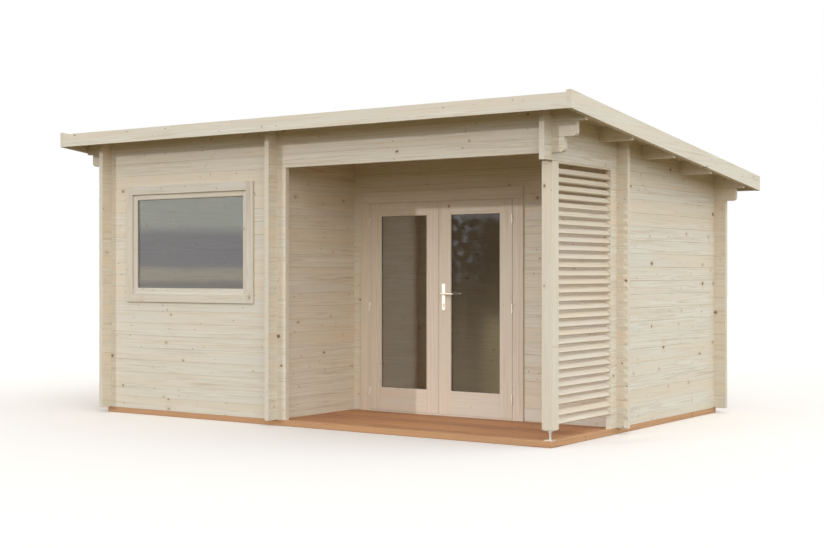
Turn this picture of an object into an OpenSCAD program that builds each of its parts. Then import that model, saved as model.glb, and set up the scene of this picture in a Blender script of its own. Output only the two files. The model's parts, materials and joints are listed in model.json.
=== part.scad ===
// Log sauna cabin with a pent roof, a closed room and a covered terrace.
// X runs along the front, Y to the back, Z up; the origin is under the middle of the roof outline.

/* [Plan] */
// Width of the closed room's front, from the left wall's outer face to the return wall's terrace face
room_w = 2062; // [1800:1:2600]
// Depth over the outer faces of the front and back walls
wall_d = 3150; // [2900:10:3600]
// Depth of the terrace, from the front wall face to the door wall face
terrace_d = 1085; // [900:5:1300]
// Width of the terrace, from the return wall face to the outer face of the right wall
terrace_w = 2648; // [2200:1:3200]

/* [Logs] */
// Thickness of a log
log_t = 44; // [34:1:58]
// Height of one course of logs
log_h = 112.5; // [106:0.5:118]
// Chamfer along each edge of a log, half of the V joint between courses
log_chamfer = 2.5; // [2:0.5:6]
// Reach of the logs that run left to right past a corner
stub_x = 95; // [70:1:115]
// Reach of the back wall's logs past a corner
stub_back = 112; // [70:1:130]
// Reach of the logs that run front to back past a corner
stub_y = 110; // [80:1:125]
// Courses below the front header
header_course = 19; // [18:1:21]
// Courses in the back wall
back_courses = 18; // [17:1:18]
// Fewest courses between the doorway and the front header; a taller door raises the walls
over_courses = 2; // [2:1:4]
// Reach of the lower header log past the side walls
corbel_low = 108; // [98:1:150]
// Reach of the upper header log and the top back log past the side walls
corbel_high = 208; // [180:1:260]
// Radius on the lower corner of a corbel
corbel_r = 34; // [10:1:40]

/* [Roof] */
// Overhang of the roof at the front
eave_front = 295; // [200:5:350]
// Overhang of the roof at the back
eave_rear = 278; // [200:2:350]
// Overhang of the roof at each side
eave_side = 321; // [300:1:380]
// Height of a purlin at its front face
purlin_h = 117; // [100:1:135]
// Number of purlins from front to back
purlin_n = 5; // [5:1:6]
// Thickness of the roof boards
roof_board_t = 19; // [16:1:24]
// Thickness of the roofing felt
felt_t = 3; // [2:0.5:5]
// Height of the front and rear fascia boards
fascia_h = 116; // [100:1:130]
// Thickness of the fascia boards
fascia_t = 19; // [16:1:24]
// Thickness of the verge boards along the sloping sides
verge_t = 40; // [28:1:45]
// Height of the verge boards above the felt
verge_lip = 18; // [10:1:25]

/* [Base and floor] */
// Height of the base beams
base_h = 47; // [42:1:60]
// Width of the base beams
base_w = 70; // [60:1:90]
// Thickness of the terrace boards
deck_t = 27; // [22:1:30]
// Number of terrace boards
deck_n = 8; // [7:1:9]
// Gap between terrace boards
deck_gap = 5; // [3:0.5:8]
// Thickness of the room's floor boards
floor_t = 20; // [16:1:26]
// Width of a joist
joist_w = 60; // [45:1:70]
// Spacing of the joists
joist_pitch = 590; // [560:5:620]

/* [Corner post and louvre] */
// Side of the square corner post
post_w = 95; // [80:1:110]
// Set-back of the post from the front wall face
post_setback = 20; // [10:1:30]
// Height of the post's lower end above the terrace
post_lift = 78; // [60:1:100]
// Radius of the foot's threaded rod
foot_rod_r = 8; // [6:0.5:10]
// Side of the foot's square plates
foot_plate_w = 70; // [60:1:80]
// Thickness of the foot's plates
foot_plate_t = 5; // [4:0.5:6]
// Width across the corners of the nut on the foot's rod
foot_nut_w = 34; // [30:1:40]
// Height of that nut
foot_nut_h = 14; // [10:1:18]
// Number of louvre slats
slat_n = 30; // [26:1:32]
// Width of a slat across its face
slat_w = 50; // [40:1:58]
// Thickness of a slat
slat_t = 15; // [12:0.5:18]
// Tilt of a slat from upright, lower edge outward
slat_tilt = 40; // [30:1:50]
// Height of the lowest slat's underside above the terrace
slat_lift = 114; // [100:1:130]
// Gap between the top slat and the strip over it
slat_drop = 33; // [10:1:50]
// Slats below the wider gap
slat_low_n = 2; // [1:1:4]
// Extra width of that gap
slat_low_gap = 20; // [0:1:40]
// Thickness of the strip over the slats
slat_head_t = 14; // [10:1:20]

/* [Window] */
// Width over the window casing
window_w = 1547; // [1300:1:1700]
// Width of a casing board
window_casing_w = 80; // [70:1:90]
// Width of the sash that shows inside the casing
sash_show = 45; // [35:1:60]
// First course that the window opening cuts
window_course = 9; // [7:1:9]
// Courses that the window opening cuts
window_courses = 9; // [7:1:9]
// Lap of the casing over the frame at each side
window_lap = 40; // [30:1:50]
// Lap of the casing over the frame at top and bottom
window_lap_z = 56; // [45:1:60]
// Drop of the casing and pane below the middle of the opening
window_drop = 7; // [0:1:10]
// Thickness of the casing boards on window and door
casing_t = 18; // [14:1:22]
// Thickness of a double pane
pane_t = 18; // [14:1:24]

/* [Doors] */
// Wall that shows between the return wall and the door casing
door_side = 90; // [60:1:160]
// Width of one leaf
leaf_w = 739; // [620:1:860]
// Height of a leaf
leaf_h = 1855; // [1700:1:2000]
// Thickness of a leaf
leaf_t = 44; // [38:1:54]
// Width of a stile
stile_w = 120; // [100:1:130]
// Height of the top rail
top_rail_h = 115; // [90:1:130]
// Height of the bottom rail
bottom_rail_h = 200; // [150:1:240]
// Gap between a leaf and its frame
leaf_gap = 6; // [5:0.5:7]
// Gap between the two leaves
meeting_gap = 9; // [8:0.5:10]
// Thickness of the threshold board
threshold_t = 11; // [8:0.5:12]
// Thickness of the frame boards round the leaves
jamb_t = 34; // [28:1:45]
// Gap between a leaf and the stop behind it
stop_gap = 5.5; // [5:0.5:7]
// Depth of the stop behind the leaves
stop_d = 12.5; // [10:0.5:16]
// Projection of the stop past the frame
stop_w = 12; // [10:0.5:14]
// Width of a door casing board
door_casing_w = 100; // [90:1:105]

/* [Hinges and handle] */
// Radius of a hinge barrel
barrel_r = 7; // [5:0.5:7]
// Height of one half of a hinge barrel
barrel_h = 38; // [30:1:50]
// Radius of a hinge pin
pin_r = 4; // [3:0.5:4.5]
// Height of a hinge pin above its barrel
pin_h = 26; // [20:1:28]
// Distance of the outer hinges from the ends of a leaf
hinge_inset = 165; // [120:1:220]
// Clearance between a hinge barrel and the leaf's face
hinge_clear = 1; // [0.5:0.5:2]
// Reach of a hinge flap from the axis
flap_w = 12; // [11:1:32]
// Thickness of a hinge flap
flap_t = 2.5; // [2:0.5:3]
// Height of the lever's axis above the base
lever_z = 1065; // [1000:1:1100]
// Distance of the lever's axis from the leaf's inner edge
backset = 50; // [40:1:60]
// Length of the lever from its axis
lever_l = 125; // [100:1:140]
// Radius of the lever
lever_r = 8.5; // [7:0.5:10]
// Distance of the lever's centre line from the leaf
lever_out = 48; // [40:1:60]
// Radius of the neck that carries the lever
neck_r = 6; // [5.5:0.5:6.5]
// Radius of the spindle
spindle_r = 4; // [3.5:0.5:5]
// Width of the handle plate
plate_w = 34; // [28:1:42]
// Height of the handle plate
plate_h = 230; // [200:1:250]
// Height of the plate above the lever's axis
plate_over = 88; // [60:1:110]
// Thickness of the handle plate
plate_t = 4; // [3:0.5:6]
// Radius on the corners of the handle plate
plate_r = 8; // [2:0.5:12]
// Distance of the key cylinder below the lever's axis
key_drop = 92; // [80:1:110]
// Radius of the key cylinder's barrel
key_r = 8.5; // [7:0.5:10]
// Width of the key cylinder's lower web
key_web_w = 10; // [8:0.5:12]
// Depth of that web below the barrel's centre
key_web_h = 24; // [20:0.5:28]
// Projection of the key cylinder past the plates
key_out = 3; // [2:0.5:5]

/* [Hidden] */
$fn = 48;
// Clearance in the log joints and round the panes
fit = 0.3;
// Hairline between boards that meet
hair = 0.5;

half_log = log_t / 2;
wall_w = room_w + terrace_w;
left_x = -wall_w / 2;
right_x = wall_w / 2;
roof_w = wall_w + 2 * eave_side;
roof_d = wall_d + eave_front + eave_rear;
roof_front = -roof_d / 2;
roof_rear = roof_d / 2;
front_y = roof_front + eave_front;
back_y = front_y + wall_d;
door_y = front_y + terrace_d;
return_x = right_x - terrace_w;

leaf_low = base_h + threshold_t + leaf_gap;
leaf_high = leaf_low + leaf_h;
head_low = leaf_high + leaf_gap;
doorway_top = head_low + jamb_t + fit;
door_courses = ceil((doorway_top - base_h) / log_h);
added_courses = max(0, door_courses + over_courses - header_course);
header_n = header_course + added_courses;
back_n = back_courses + added_courses;

header_z = base_h + header_n * log_h;
plate_front_z = header_z + 2 * log_h;
plate_back_z = base_h + back_n * log_h;
roof_run = wall_d - log_t;
slope = (plate_front_z - plate_back_z) / roof_run;
purlin_pitch = roof_run / (purlin_n - 1);
roof_rise = sqrt(1 + slope * slope);
cover_h = (roof_board_t + felt_t) * roof_rise;
cover_half = roof_w / 2 - verge_t - hair;
upper_z = header_z - log_h / 2;
logs_top = plate_front_z + 2 * log_h;

window_cx = left_x + room_w / 2;
opening_half = window_w / 2 - window_casing_w + window_lap;
opening_low = base_h + window_course * log_h;
opening_high = opening_low + window_courses * log_h;
window_base = opening_low + window_lap_z - window_casing_w - window_drop;
window_h = opening_high - opening_low + 2 * (window_casing_w - window_lap_z);
pane_half = window_w / 2 - window_casing_w - sash_show;
pane_low = window_base + window_casing_w + sash_show;
pane_high = window_base + window_h - window_casing_w - sash_show;

door_face = door_y - casing_t;
pair_half = leaf_w + meeting_gap / 2;
frame_half = pair_half + leaf_gap;
door_cx = return_x + door_side + door_casing_w + frame_half;
doorway_half = frame_half + jamb_t + fit;
stop_front = leaf_t - casing_t + stop_gap;
jamb_d = stop_front + stop_d;
hinge_out = barrel_r + hinge_clear;
hinge_half = pair_half + leaf_gap / 2;
hinge_y = door_face - hinge_out;
spindle_x = door_cx + meeting_gap / 2 + backset;
spindle_z = base_h + lever_z;

function reversed(list) = [for (i = [len(list) - 1 : -1 : 0]) list[i]];

// Height of the n-th course line above the floor
function course_z(n) = base_h + n * log_h;

// Underside of the roof boards at a place from front to back
function under_z(y) = plate_front_z + purlin_h - (y - front_y) * slope;

// Upper edge of what carries the roof boards
function seat_z(y) = under_z(y) - fit;

// Upper face of the felt
function felt_z(y) = under_z(y) + cover_h;

// One face of a stack of logs, from low to high, with a V at each course line
function log_face(side, low, high, shift) =
    let (first = ceil((low - base_h) / log_h - shift), last = floor((high - base_h) / log_h - shift))
    concat(
        [[side * (half_log - log_chamfer), low], [side * half_log, low + log_chamfer]],
        [for (n = [first : last]) let (z = course_z(n + shift))
            if (z > low + log_chamfer && z < high - log_chamfer)
                each [[side * half_log, z - log_chamfer],
                    [side * (half_log - log_chamfer), z],
                    [side * half_log, z + log_chamfer]]],
        [[side * half_log, high - log_chamfer], [side * (half_log - log_chamfer), high]]);

// Cross-section of a stack of logs
function log_section(low, high, shift) =
    concat(log_face(1, low, high, shift), reversed(log_face(-1, low, high, shift)));

// Logs that run left to right, on whole courses; y is their front face
module x_logs(x0, x1, y, low, high) {
    translate([x0, y + half_log, 0])
        rotate([90, 0, 90])
            linear_extrude(x1 - x0)
                polygon(log_section(low, high, 0));
}

// Logs that run front to back, half a course higher; x is their left face
module y_logs(x, y0, y1, low, high) {
    translate([x + half_log, y1, 0])
        rotate([90, 0, 0])
            linear_extrude(y1 - y0)
                polygon(log_section(low, high, 0.5));
}

// Room that the necks of front-to-back logs take from the logs they cross
module y_necks(x, y, low, high) {
    for (n = [floor((low - base_h) / log_h) : ceil((high - base_h) / log_h)])
        translate([x - fit, y - 1, course_z(n - 0.25) - fit])
            cube([log_t + 2 * fit, log_t + 2, log_h / 2 + 2 * fit]);
}

// Room that the necks of left-to-right logs take from the logs they cross
module x_necks(x, y, first, last) {
    for (n = [first : last])
        translate([x - 1, y - fit, course_z(n + 0.25)])
            cube([log_t + 2, log_t + 2 * fit, log_h / 2]);
}

// Everything above the seat of the roof
module above_roof() {
    translate([-roof_w, 0, 0])
        rotate([90, 0, 90])
            linear_extrude(2 * roof_w)
                polygon([[roof_front - 1, seat_z(roof_front - 1)], [roof_rear + 1, seat_z(roof_rear + 1)],
                    [roof_rear + 1, 2 * logs_top], [roof_front - 1, 2 * logs_top]]);
}

// A band that follows the roof slope, from y0 to y1 and between two heights over its underside
module slope_band(x0, x1, y0, y1, low, high) {
    translate([x0, 0, 0])
        rotate([90, 0, 90])
            linear_extrude(x1 - x0)
                polygon([[y0, under_z(y0) + low], [y1, under_z(y1) + low],
                    [y1, under_z(y1) + high], [y0, under_z(y0) + high]]);
}

function purlin_y(n) = front_y + n * purlin_pitch;

// Purlin with its upper edge bevelled to the roof slope
module purlin(n) {
    y0 = purlin_y(n);
    y1 = y0 + log_t;
    low = under_z(y0) - purlin_h;
    translate([-cover_half, 0, 0])
        rotate([90, 0, 90])
            linear_extrude(2 * cover_half)
                polygon([[y0, low], [y1, low], [y1, seat_z(y1)], [y0, seat_z(y0)]]);
}

// Notches for the purlins in the logs that carry them
module purlin_notches() {
    for (n = [0 : purlin_n - 1])
        translate([-roof_w, purlin_y(n) - fit, under_z(purlin_y(n)) - purlin_h])
            cube([2 * roof_w, log_t + 2 * fit, 2 * purlin_h]);
}

// Cutter for the rounded lower corner of a log that ends in the air; side is 1 at the right
module corbel_corner(x, y, z, side) {
    translate([x, y, z])
        difference() {
            translate([side > 0 ? -corbel_r : -1, -1, -1])
                cube([corbel_r + 1, log_t + 2, corbel_r + 1]);
            translate([-side * corbel_r, -2, corbel_r])
                rotate([-90, 0, 0])
                    cylinder(r = corbel_r, h = log_t + 4);
        }
}

// Two uprights and two rails round an opening, with hairline butt joints
module board_ring(outer, inner, y, t) {
    height = outer[3] - outer[2];
    rail = inner[1] - inner[0] - 2 * hair;
    translate([outer[0], y, outer[2]])
        cube([inner[0] - outer[0], t, height]);
    translate([inner[1], y, outer[2]])
        cube([outer[1] - inner[1], t, height]);
    translate([inner[0] + hair, y, outer[2]])
        cube([rail, t, inner[2] - outer[2]]);
    translate([inner[0] + hair, y, inner[3]])
        cube([rail, t, outer[3] - inner[3]]);
}

// Base and floor

module base_rails() {
    color("#8a5a3a") {
        for (y = [front_y, back_y - base_w])
            translate([left_x, y, 0])
                cube([wall_w, base_w, base_h]);
        translate([return_x + (base_w - log_t) / 2 + hair, door_y - (base_w - log_t) / 2, 0])
            cube([terrace_w - (base_w - log_t) / 2 - base_w - 2 * hair, base_w, base_h]);
    }
}

module base_sleepers() {
    color("#8a5a3a") {
        for (x = [left_x, right_x - base_w])
            translate([x, front_y + base_w + hair, 0])
                cube([base_w, wall_d - 2 * base_w - 2 * hair, base_h]);
        translate([return_x - log_t - (base_w - log_t) / 2, front_y + base_w + hair, 0])
            cube([base_w, terrace_d - base_w - hair + (base_w + log_t) / 2, base_h]);
    }
}

// Joists run front to back, spaced from the middle of the cabin
joist_n = floor((wall_w / 2 - base_w - joist_w) / joist_pitch);

module floor_joists() {
    room_y = door_y + (base_w + log_t) / 2 + hair;
    end_y = back_y - base_w - hair;
    color("#9a7350")
        for (n = [-joist_n : joist_n]) {
            x = n * joist_pitch - joist_w / 2;
            y = x + joist_w + hair < return_x - (base_w + log_t) / 2 ? front_y + base_w + hair : room_y;
            translate([x, y, 0])
                cube([joist_w, end_y - y, base_h - floor_t]);
        }
}

module deck_joists() {
    y = front_y + base_w + hair;
    length = terrace_d - base_w - (base_w - log_t) / 2 - 2 * hair;
    color("#8a5a3a")
        for (n = [-joist_n : joist_n]) {
            x = n * joist_pitch - joist_w / 2;
            if (x - hair > return_x + (base_w - log_t) / 2)
                translate([x, y, 0])
                    cube([joist_w, length, base_h - deck_t]);
        }
}

module terrace_boards() {
    x = return_x + (base_w - log_t) / 2 + hair;
    y = front_y + base_w + deck_gap;
    span = terrace_d - base_w - (base_w - log_t) / 2 - deck_gap;
    pitch = span / deck_n;
    color("#a4673f")
        for (n = [0 : deck_n - 1])
            translate([x, y + n * pitch, base_h - deck_t])
                cube([right_x - base_w - hair - x, pitch - deck_gap, deck_t]);
}

module room_floor() {
    side_x = return_x - (base_w + log_t) / 2 - hair;
    room_y = door_y + (base_w + log_t) / 2 + hair;
    end_y = back_y - base_w - hair;
    color("#d8c29c") {
        translate([left_x + base_w + hair, front_y + base_w + hair, base_h - floor_t])
            cube([side_x - left_x - base_w - hair, wall_d - 2 * base_w - 2 * hair, floor_t]);
        translate([side_x + hair, room_y, base_h - floor_t])
            cube([right_x - base_w - 2 * hair - side_x, end_y - room_y, floor_t]);
    }
}

// Log walls

module left_wall() {
    color("#dccfb0")
        difference() {
            y_logs(left_x, front_y - stub_y, back_y + stub_y, base_h, logs_top);
            x_necks(left_x, front_y, 0, header_n + 1);
            x_necks(left_x, back_y - log_t, 0, back_n - 1);
            purlin_notches();
            above_roof();
        }
}

module right_wall() {
    x = right_x - log_t;
    color("#dccfb0")
        difference() {
            y_logs(x, door_y - stub_y, back_y + stub_y, base_h, upper_z);
            x_necks(x, door_y, 0, header_n);
            x_necks(x, back_y - log_t, 0, back_n - 1);
            purlin_notches();
            above_roof();
        }
}

module right_upper_logs() {
    x = right_x - log_t;
    color("#dccfb0")
        difference() {
            y_logs(x, front_y - stub_y, back_y - log_t - fit, upper_z, logs_top);
            x_necks(x, front_y, header_n, header_n + 1);
            x_necks(x, door_y, header_n - 1, header_n + 2);
            purlin_notches();
            above_roof();
        }
}

back_log_z = course_z(back_n - 1);

// Logs of the back wall that reach past the side walls by the same length
module back_logs(reach, low, high) {
    y = back_y - log_t;
    difference() {
        x_logs(left_x - reach, right_x + reach, y, low, high);
        y_necks(left_x, y, low, high);
        y_necks(right_x - log_t, y, low, high);
    }
}

module back_wall() {
    color("#dccfb0")
        back_logs(stub_back, base_h, back_log_z);
}

module back_top_log() {
    y = back_y - log_t;
    color("#dccfb0")
        difference() {
            back_logs(corbel_high, back_log_z, plate_back_z);
            corbel_corner(left_x - corbel_high, y, back_log_z, -1);
            corbel_corner(right_x + corbel_high, y, back_log_z, 1);
        }
}

// A part of the front wall, from x0 to x1 and over the courses from first up to last
module front_logs(x0, x1, first, last) {
    low = course_z(first);
    high = course_z(last);
    color("#dccfb0")
        difference() {
            x_logs(x0, x1, front_y, low, high);
            y_necks(left_x, front_y, low, high);
            y_necks(return_x - log_t, front_y, low, high);
        }
}

module front_wall_lower() {
    front_logs(left_x - stub_x, return_x + stub_x, 0, window_course);
}

module front_wall_left() {
    front_logs(left_x - stub_x, window_cx - opening_half, window_course, window_course + window_courses);
}

module front_wall_right() {
    front_logs(window_cx + opening_half, return_x + stub_x, window_course, window_course + window_courses);
}

module front_wall_upper() {
    front_logs(left_x - stub_x, return_x + stub_x, window_course + window_courses, header_n);
}

module front_header() {
    middle = header_z + log_h;
    color("#dccfb0")
        difference() {
            union() {
                x_logs(left_x - corbel_low, right_x + corbel_low, front_y, header_z, middle);
                x_logs(left_x - corbel_high, right_x + corbel_high, front_y, middle, plate_front_z);
            }
            y_necks(left_x, front_y, header_z, plate_front_z);
            y_necks(return_x - log_t, front_y, header_z, plate_front_z);
            y_necks(right_x - log_t, front_y, header_z, plate_front_z);
            corbel_corner(left_x - corbel_low, front_y, header_z, -1);
            corbel_corner(right_x + corbel_low, front_y, header_z, 1);
            corbel_corner(left_x - corbel_high, front_y, middle, -1);
            corbel_corner(right_x + corbel_high, front_y, middle, 1);
        }
}

module return_wall() {
    x = return_x - log_t;
    color("#dccfb0")
        difference() {
            y_logs(x, front_y - stub_y, door_y + log_t + stub_y, base_h, logs_top);
            x_necks(x, front_y, 0, header_n + 1);
            x_necks(x, door_y, 0, header_n + 2);
            purlin_notches();
            above_roof();
        }
}

// A part of the door wall, from x0 to x1 and between two heights
module door_logs(x0, x1, low, high) {
    color("#dccfb0")
        difference() {
            x_logs(x0, x1, door_y, low, high);
            y_necks(return_x - log_t, door_y, low, high);
            y_necks(right_x - log_t, door_y, low, high);
            above_roof();
        }
}

module door_wall_left() {
    door_logs(return_x - log_t - stub_x, door_cx - doorway_half, base_h, doorway_top);
}

module door_wall_right() {
    door_logs(door_cx + doorway_half, right_x + stub_x, base_h, doorway_top);
}

module door_wall_over() {
    door_logs(return_x - log_t - stub_x, right_x + stub_x, doorway_top, logs_top);
}

// Roof

module purlins() {
    color("#cbb78f")
        for (n = [0 : purlin_n - 1])
            purlin(n);
}

module roof_boards() {
    color("#c2ac83")
        slope_band(-cover_half, cover_half, roof_front + fascia_t + hair, roof_rear - fascia_t - hair,
            0, roof_board_t * roof_rise);
}

module roof_felt() {
    color("#4a4b4d")
        slope_band(-cover_half, cover_half, roof_front + fascia_t + hair, roof_rear - fascia_t - hair,
            roof_board_t * roof_rise, cover_h);
}

// An upright board along an eave, its upper edge on the felt's slope and between the verge boards
module fascia_board(y) {
    low = felt_z(y) - fascia_h;
    translate([-cover_half, 0, 0])
        rotate([90, 0, 90])
            linear_extrude(2 * cover_half)
                polygon([[y, low], [y + fascia_t, low],
                    [y + fascia_t, felt_z(y + fascia_t)], [y, felt_z(y)]]);
}

// A board along a sloping side, level with the fascia below and proud of the felt above
module verge_board(x) {
    slope_band(x, x + verge_t, roof_front, roof_rear, cover_h - fascia_h, cover_h + verge_lip);
}

module front_fascia() {
    color("#e2d8c0")
        fascia_board(roof_front);
}

module rear_fascia() {
    color("#e2d8c0")
        fascia_board(roof_rear - fascia_t);
}

module left_verge() {
    color("#e2d8c0")
        verge_board(-roof_w / 2);
}

module right_verge() {
    color("#e2d8c0")
        verge_board(roof_w / 2 - verge_t);
}

// Corner post and louvre

module corner_post() {
    z = base_h + post_lift;
    color("#ddd3b8")
        translate([right_x - post_w, front_y + post_setback, z])
            cube([post_w, post_w, upper_z - z]);
}

module post_foot() {
    color("#c9cbcc")
        translate([right_x - post_w / 2, front_y + post_setback + post_w / 2, base_h]) {
            for (z = [0, post_lift - foot_plate_t])
                translate([-foot_plate_w / 2, -foot_plate_w / 2, z])
                    cube([foot_plate_w, foot_plate_w, foot_plate_t]);
            cylinder(r = foot_rod_r, h = post_lift);
            translate([0, 0, post_lift - foot_plate_t - foot_nut_h])
                cylinder(r = foot_nut_w / 2, h = foot_nut_h, $fn = 6);
        }
}

// Tilted slats between the post and the wall's end, under a strip, in the thickness of the wall
module louvre_slats() {
    y0 = front_y + post_setback + post_w + fit;
    length = door_y - stub_y - fit - y0;
    reach = (slat_w * sin(slat_tilt) + slat_t * cos(slat_tilt)) / 2;
    rise = (slat_w * cos(slat_tilt) + slat_t * sin(slat_tilt)) / 2;
    low = base_h + slat_lift + rise;
    high = upper_z - fit - slat_head_t - slat_drop - rise;
    pitch = (high - low - slat_low_gap) / (slat_n - 1);
    color("#e0d6bd") {
        for (n = [0 : slat_n - 1])
            translate([right_x - reach, y0, low + n * pitch + (n < slat_low_n ? 0 : slat_low_gap)])
                rotate([0, -slat_tilt, 0])
                    translate([-slat_t / 2, 0, -slat_w / 2])
                        cube([slat_t, length, slat_w]);
        translate([right_x - log_t, y0, upper_z - fit - slat_head_t])
            cube([log_t, length, slat_head_t]);
    }
}

// Window

module window_casing() {
    half = window_w / 2;
    inner = half - window_casing_w;
    color("#d9c7a0")
        board_ring([window_cx - half, window_cx + half, window_base, window_base + window_h],
            [window_cx - inner, window_cx + inner, window_base + window_casing_w,
                window_base + window_h - window_casing_w],
            front_y - casing_t, casing_t);
}

module window_sash() {
    half = opening_half - fit;
    color("#e3d5b4")
        board_ring([window_cx - half, window_cx + half, opening_low + fit, opening_high - fit],
            [window_cx - pane_half, window_cx + pane_half, pane_low, pane_high],
            front_y, log_t);
}

module window_glass() {
    color("#8e959b", 0.6)
        translate([window_cx - pane_half + fit, front_y + (log_t - pane_t) / 2, pane_low + fit])
            cube([2 * (pane_half - fit), pane_t, pane_high - pane_low - 2 * fit]);
}

// Doorway

// Two jambs and a head, a stop strip along each of them behind the leaves, and the threshold
module door_frame() {
    stop_y = door_y + stop_front;
    stop_half = frame_half - stop_w - hair;
    height = head_low - hair - base_h;
    color("#ccb48a") {
        for (side = [0, 1])
            translate([door_cx, 0, base_h])
                mirror([side, 0, 0]) {
                    translate([frame_half, door_y, 0])
                        cube([jamb_t, jamb_d, height]);
                    translate([frame_half - stop_w, stop_y, 0])
                        cube([stop_w - hair, stop_d, height]);
                }
        translate([door_cx - doorway_half + fit, door_y, head_low])
            cube([2 * (doorway_half - fit), jamb_d, jamb_t]);
        translate([door_cx - stop_half, stop_y, head_low - stop_w])
            cube([2 * stop_half, stop_d, stop_w - hair]);
        translate([door_cx - frame_half + hair, door_face, base_h])
            cube([2 * (frame_half - hair), stop_y - hair - door_face, threshold_t]);
    }
}

module door_casing() {
    outer = frame_half + door_casing_w;
    color("#d2bd95") {
        for (x = [door_cx - outer, door_cx + frame_half])
            translate([x, door_face, base_h])
                cube([door_casing_w, casing_t, head_low - hair - base_h]);
        translate([door_cx - outer, door_face, head_low])
            cube([2 * outer, casing_t, door_casing_w]);
    }
}

function hinge_heights() = [leaf_low + hinge_inset, leaf_low + leaf_h / 2, leaf_high - hinge_inset];

// Lower half of a hinge, with its pin; the flap lies on the casing
module hinge_lower() {
    translate([0, 0, -barrel_h])
        cylinder(r = barrel_r, h = barrel_h - hair);
    translate([0, 0, -barrel_h])
        cylinder(r = pin_r, h = barrel_h + pin_h);
    translate([-flap_w, hinge_out - flap_t, -barrel_h])
        cube([flap_w, flap_t, barrel_h - hair]);
}

// Upper half of a hinge, bored for the pin; the flap lies on the leaf
module hinge_upper() {
    difference() {
        union() {
            cylinder(r = barrel_r, h = barrel_h);
            translate([0, hinge_out - flap_t, 0])
                cube([flap_w, flap_t, barrel_h]);
        }
        translate([0, 0, -1])
            cylinder(r = pin_r + fit, h = pin_h + 2);
    }
}

module frame_hinges() {
    color("#c4c6c8")
        for (side = [0, 1], z = hinge_heights())
            translate([door_cx, hinge_y, z])
                mirror([side, 0, 0])
                    translate([-hinge_half, 0, 0])
                        hinge_lower();
}

module leaf_hinges(side) {
    color("#c4c6c8")
        for (z = hinge_heights())
            translate([door_cx, hinge_y, z])
                mirror([side, 0, 0])
                    translate([-hinge_half, 0, 0])
                        hinge_upper();
}

// Stiles and rails of one leaf; x is its left edge
module leaf_boards(x) {
    board_ring([x, x + leaf_w, leaf_low, leaf_high],
        [x + stile_w, x + leaf_w - stile_w, leaf_low + bottom_rail_h, leaf_high - top_rail_h],
        door_face, leaf_t);
}

module leaf_pane(x) {
    translate([x + stile_w + fit, door_face + (leaf_t - pane_t) / 2, leaf_low + bottom_rail_h + fit])
        cube([leaf_w - 2 * stile_w - 2 * fit, pane_t, leaf_h - bottom_rail_h - top_rail_h - 2 * fit]);
}

left_leaf_x = door_cx - pair_half;
right_leaf_x = door_cx + meeting_gap / 2;

module left_leaf() {
    color("#d8c49c")
        leaf_boards(left_leaf_x);
}

module left_glass() {
    color("#5b5348", 0.6)
        leaf_pane(left_leaf_x);
}

module left_hinges() {
    leaf_hinges(0);
}

module right_leaf() {
    color("#d8c49c")
        difference() {
            leaf_boards(right_leaf_x);
            translate([spindle_x, door_face - 1, spindle_z])
                rotate([-90, 0, 0])
                    cylinder(r = spindle_r + 1, h = leaf_t + 2);
            key_body(fit, 1);
        }
}

module right_glass() {
    color("#5b5348", 0.6)
        leaf_pane(right_leaf_x);
}

module right_hinges() {
    leaf_hinges(1);
}

// Key cylinder through the leaf: a round barrel on a straight web; grow and reach widen its hole
module key_body(grow, reach) {
    depth = leaf_t + 2 * (plate_t + key_out + reach);
    translate([spindle_x, door_face + leaf_t / 2 + depth / 2, spindle_z - key_drop])
        rotate([90, 0, 0])
            linear_extrude(depth) {
                circle(r = key_r + grow);
                translate([-key_web_w / 2 - grow, -key_web_h - grow])
                    square([key_web_w + 2 * grow, key_web_h + grow]);
            }
}

// Outline of a handle plate with rounded corners, its lower left corner at the origin
module plate_outline() {
    translate([plate_r, 0])
        square([plate_w - 2 * plate_r, plate_h]);
    translate([0, plate_r])
        square([plate_w, plate_h - 2 * plate_r]);
    for (x = [plate_r, plate_w - plate_r], z = [plate_r, plate_h - plate_r])
        translate([x, z])
            circle(r = plate_r);
}

// Long plates on both faces of the leaf, with the lever's axis in their upper half
module handle_plates() {
    color("#d5d6d6")
        difference() {
            for (y = [door_face, door_face + leaf_t + plate_t])
                translate([spindle_x - plate_w / 2, y, spindle_z + plate_over - plate_h])
                    rotate([90, 0, 0])
                        linear_extrude(plate_t)
                            plate_outline();
            translate([spindle_x, door_face - plate_t - 1, spindle_z])
                rotate([-90, 0, 0])
                    cylinder(r = spindle_r + fit, h = leaf_t + 2 * plate_t + 2);
            key_body(fit, 1);
        }
}

module key_cylinder() {
    color("#c9b98a")
        key_body(0, 0);
}

// Grip of a lever along X, turned with eased ends
module lever_grip() {
    ease = lever_r / 2;
    rotate([0, 90, 0])
        rotate_extrude()
            polygon([[0, -lever_r], [lever_r - ease, -lever_r], [lever_r, ease - lever_r],
                [lever_r, lever_l - ease], [lever_r - ease, lever_l], [0, lever_l]]);
}

// Lever outside and inside on one spindle
module handle_lever() {
    neck = lever_out - plate_t - hair;
    color("#d5d6d6")
        translate([spindle_x, door_face, spindle_z]) {
            translate([0, -lever_out, 0])
                rotate([-90, 0, 0])
                    cylinder(r = spindle_r, h = leaf_t + 2 * lever_out);
            for (y = [-lever_out, leaf_t + plate_t + hair])
                translate([0, y, 0])
                    rotate([-90, 0, 0])
                        cylinder(r = neck_r, h = neck);
            for (y = [-lever_out, leaf_t + lever_out])
                translate([0, y, 0])
                    lever_grip();
        }
}

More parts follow.
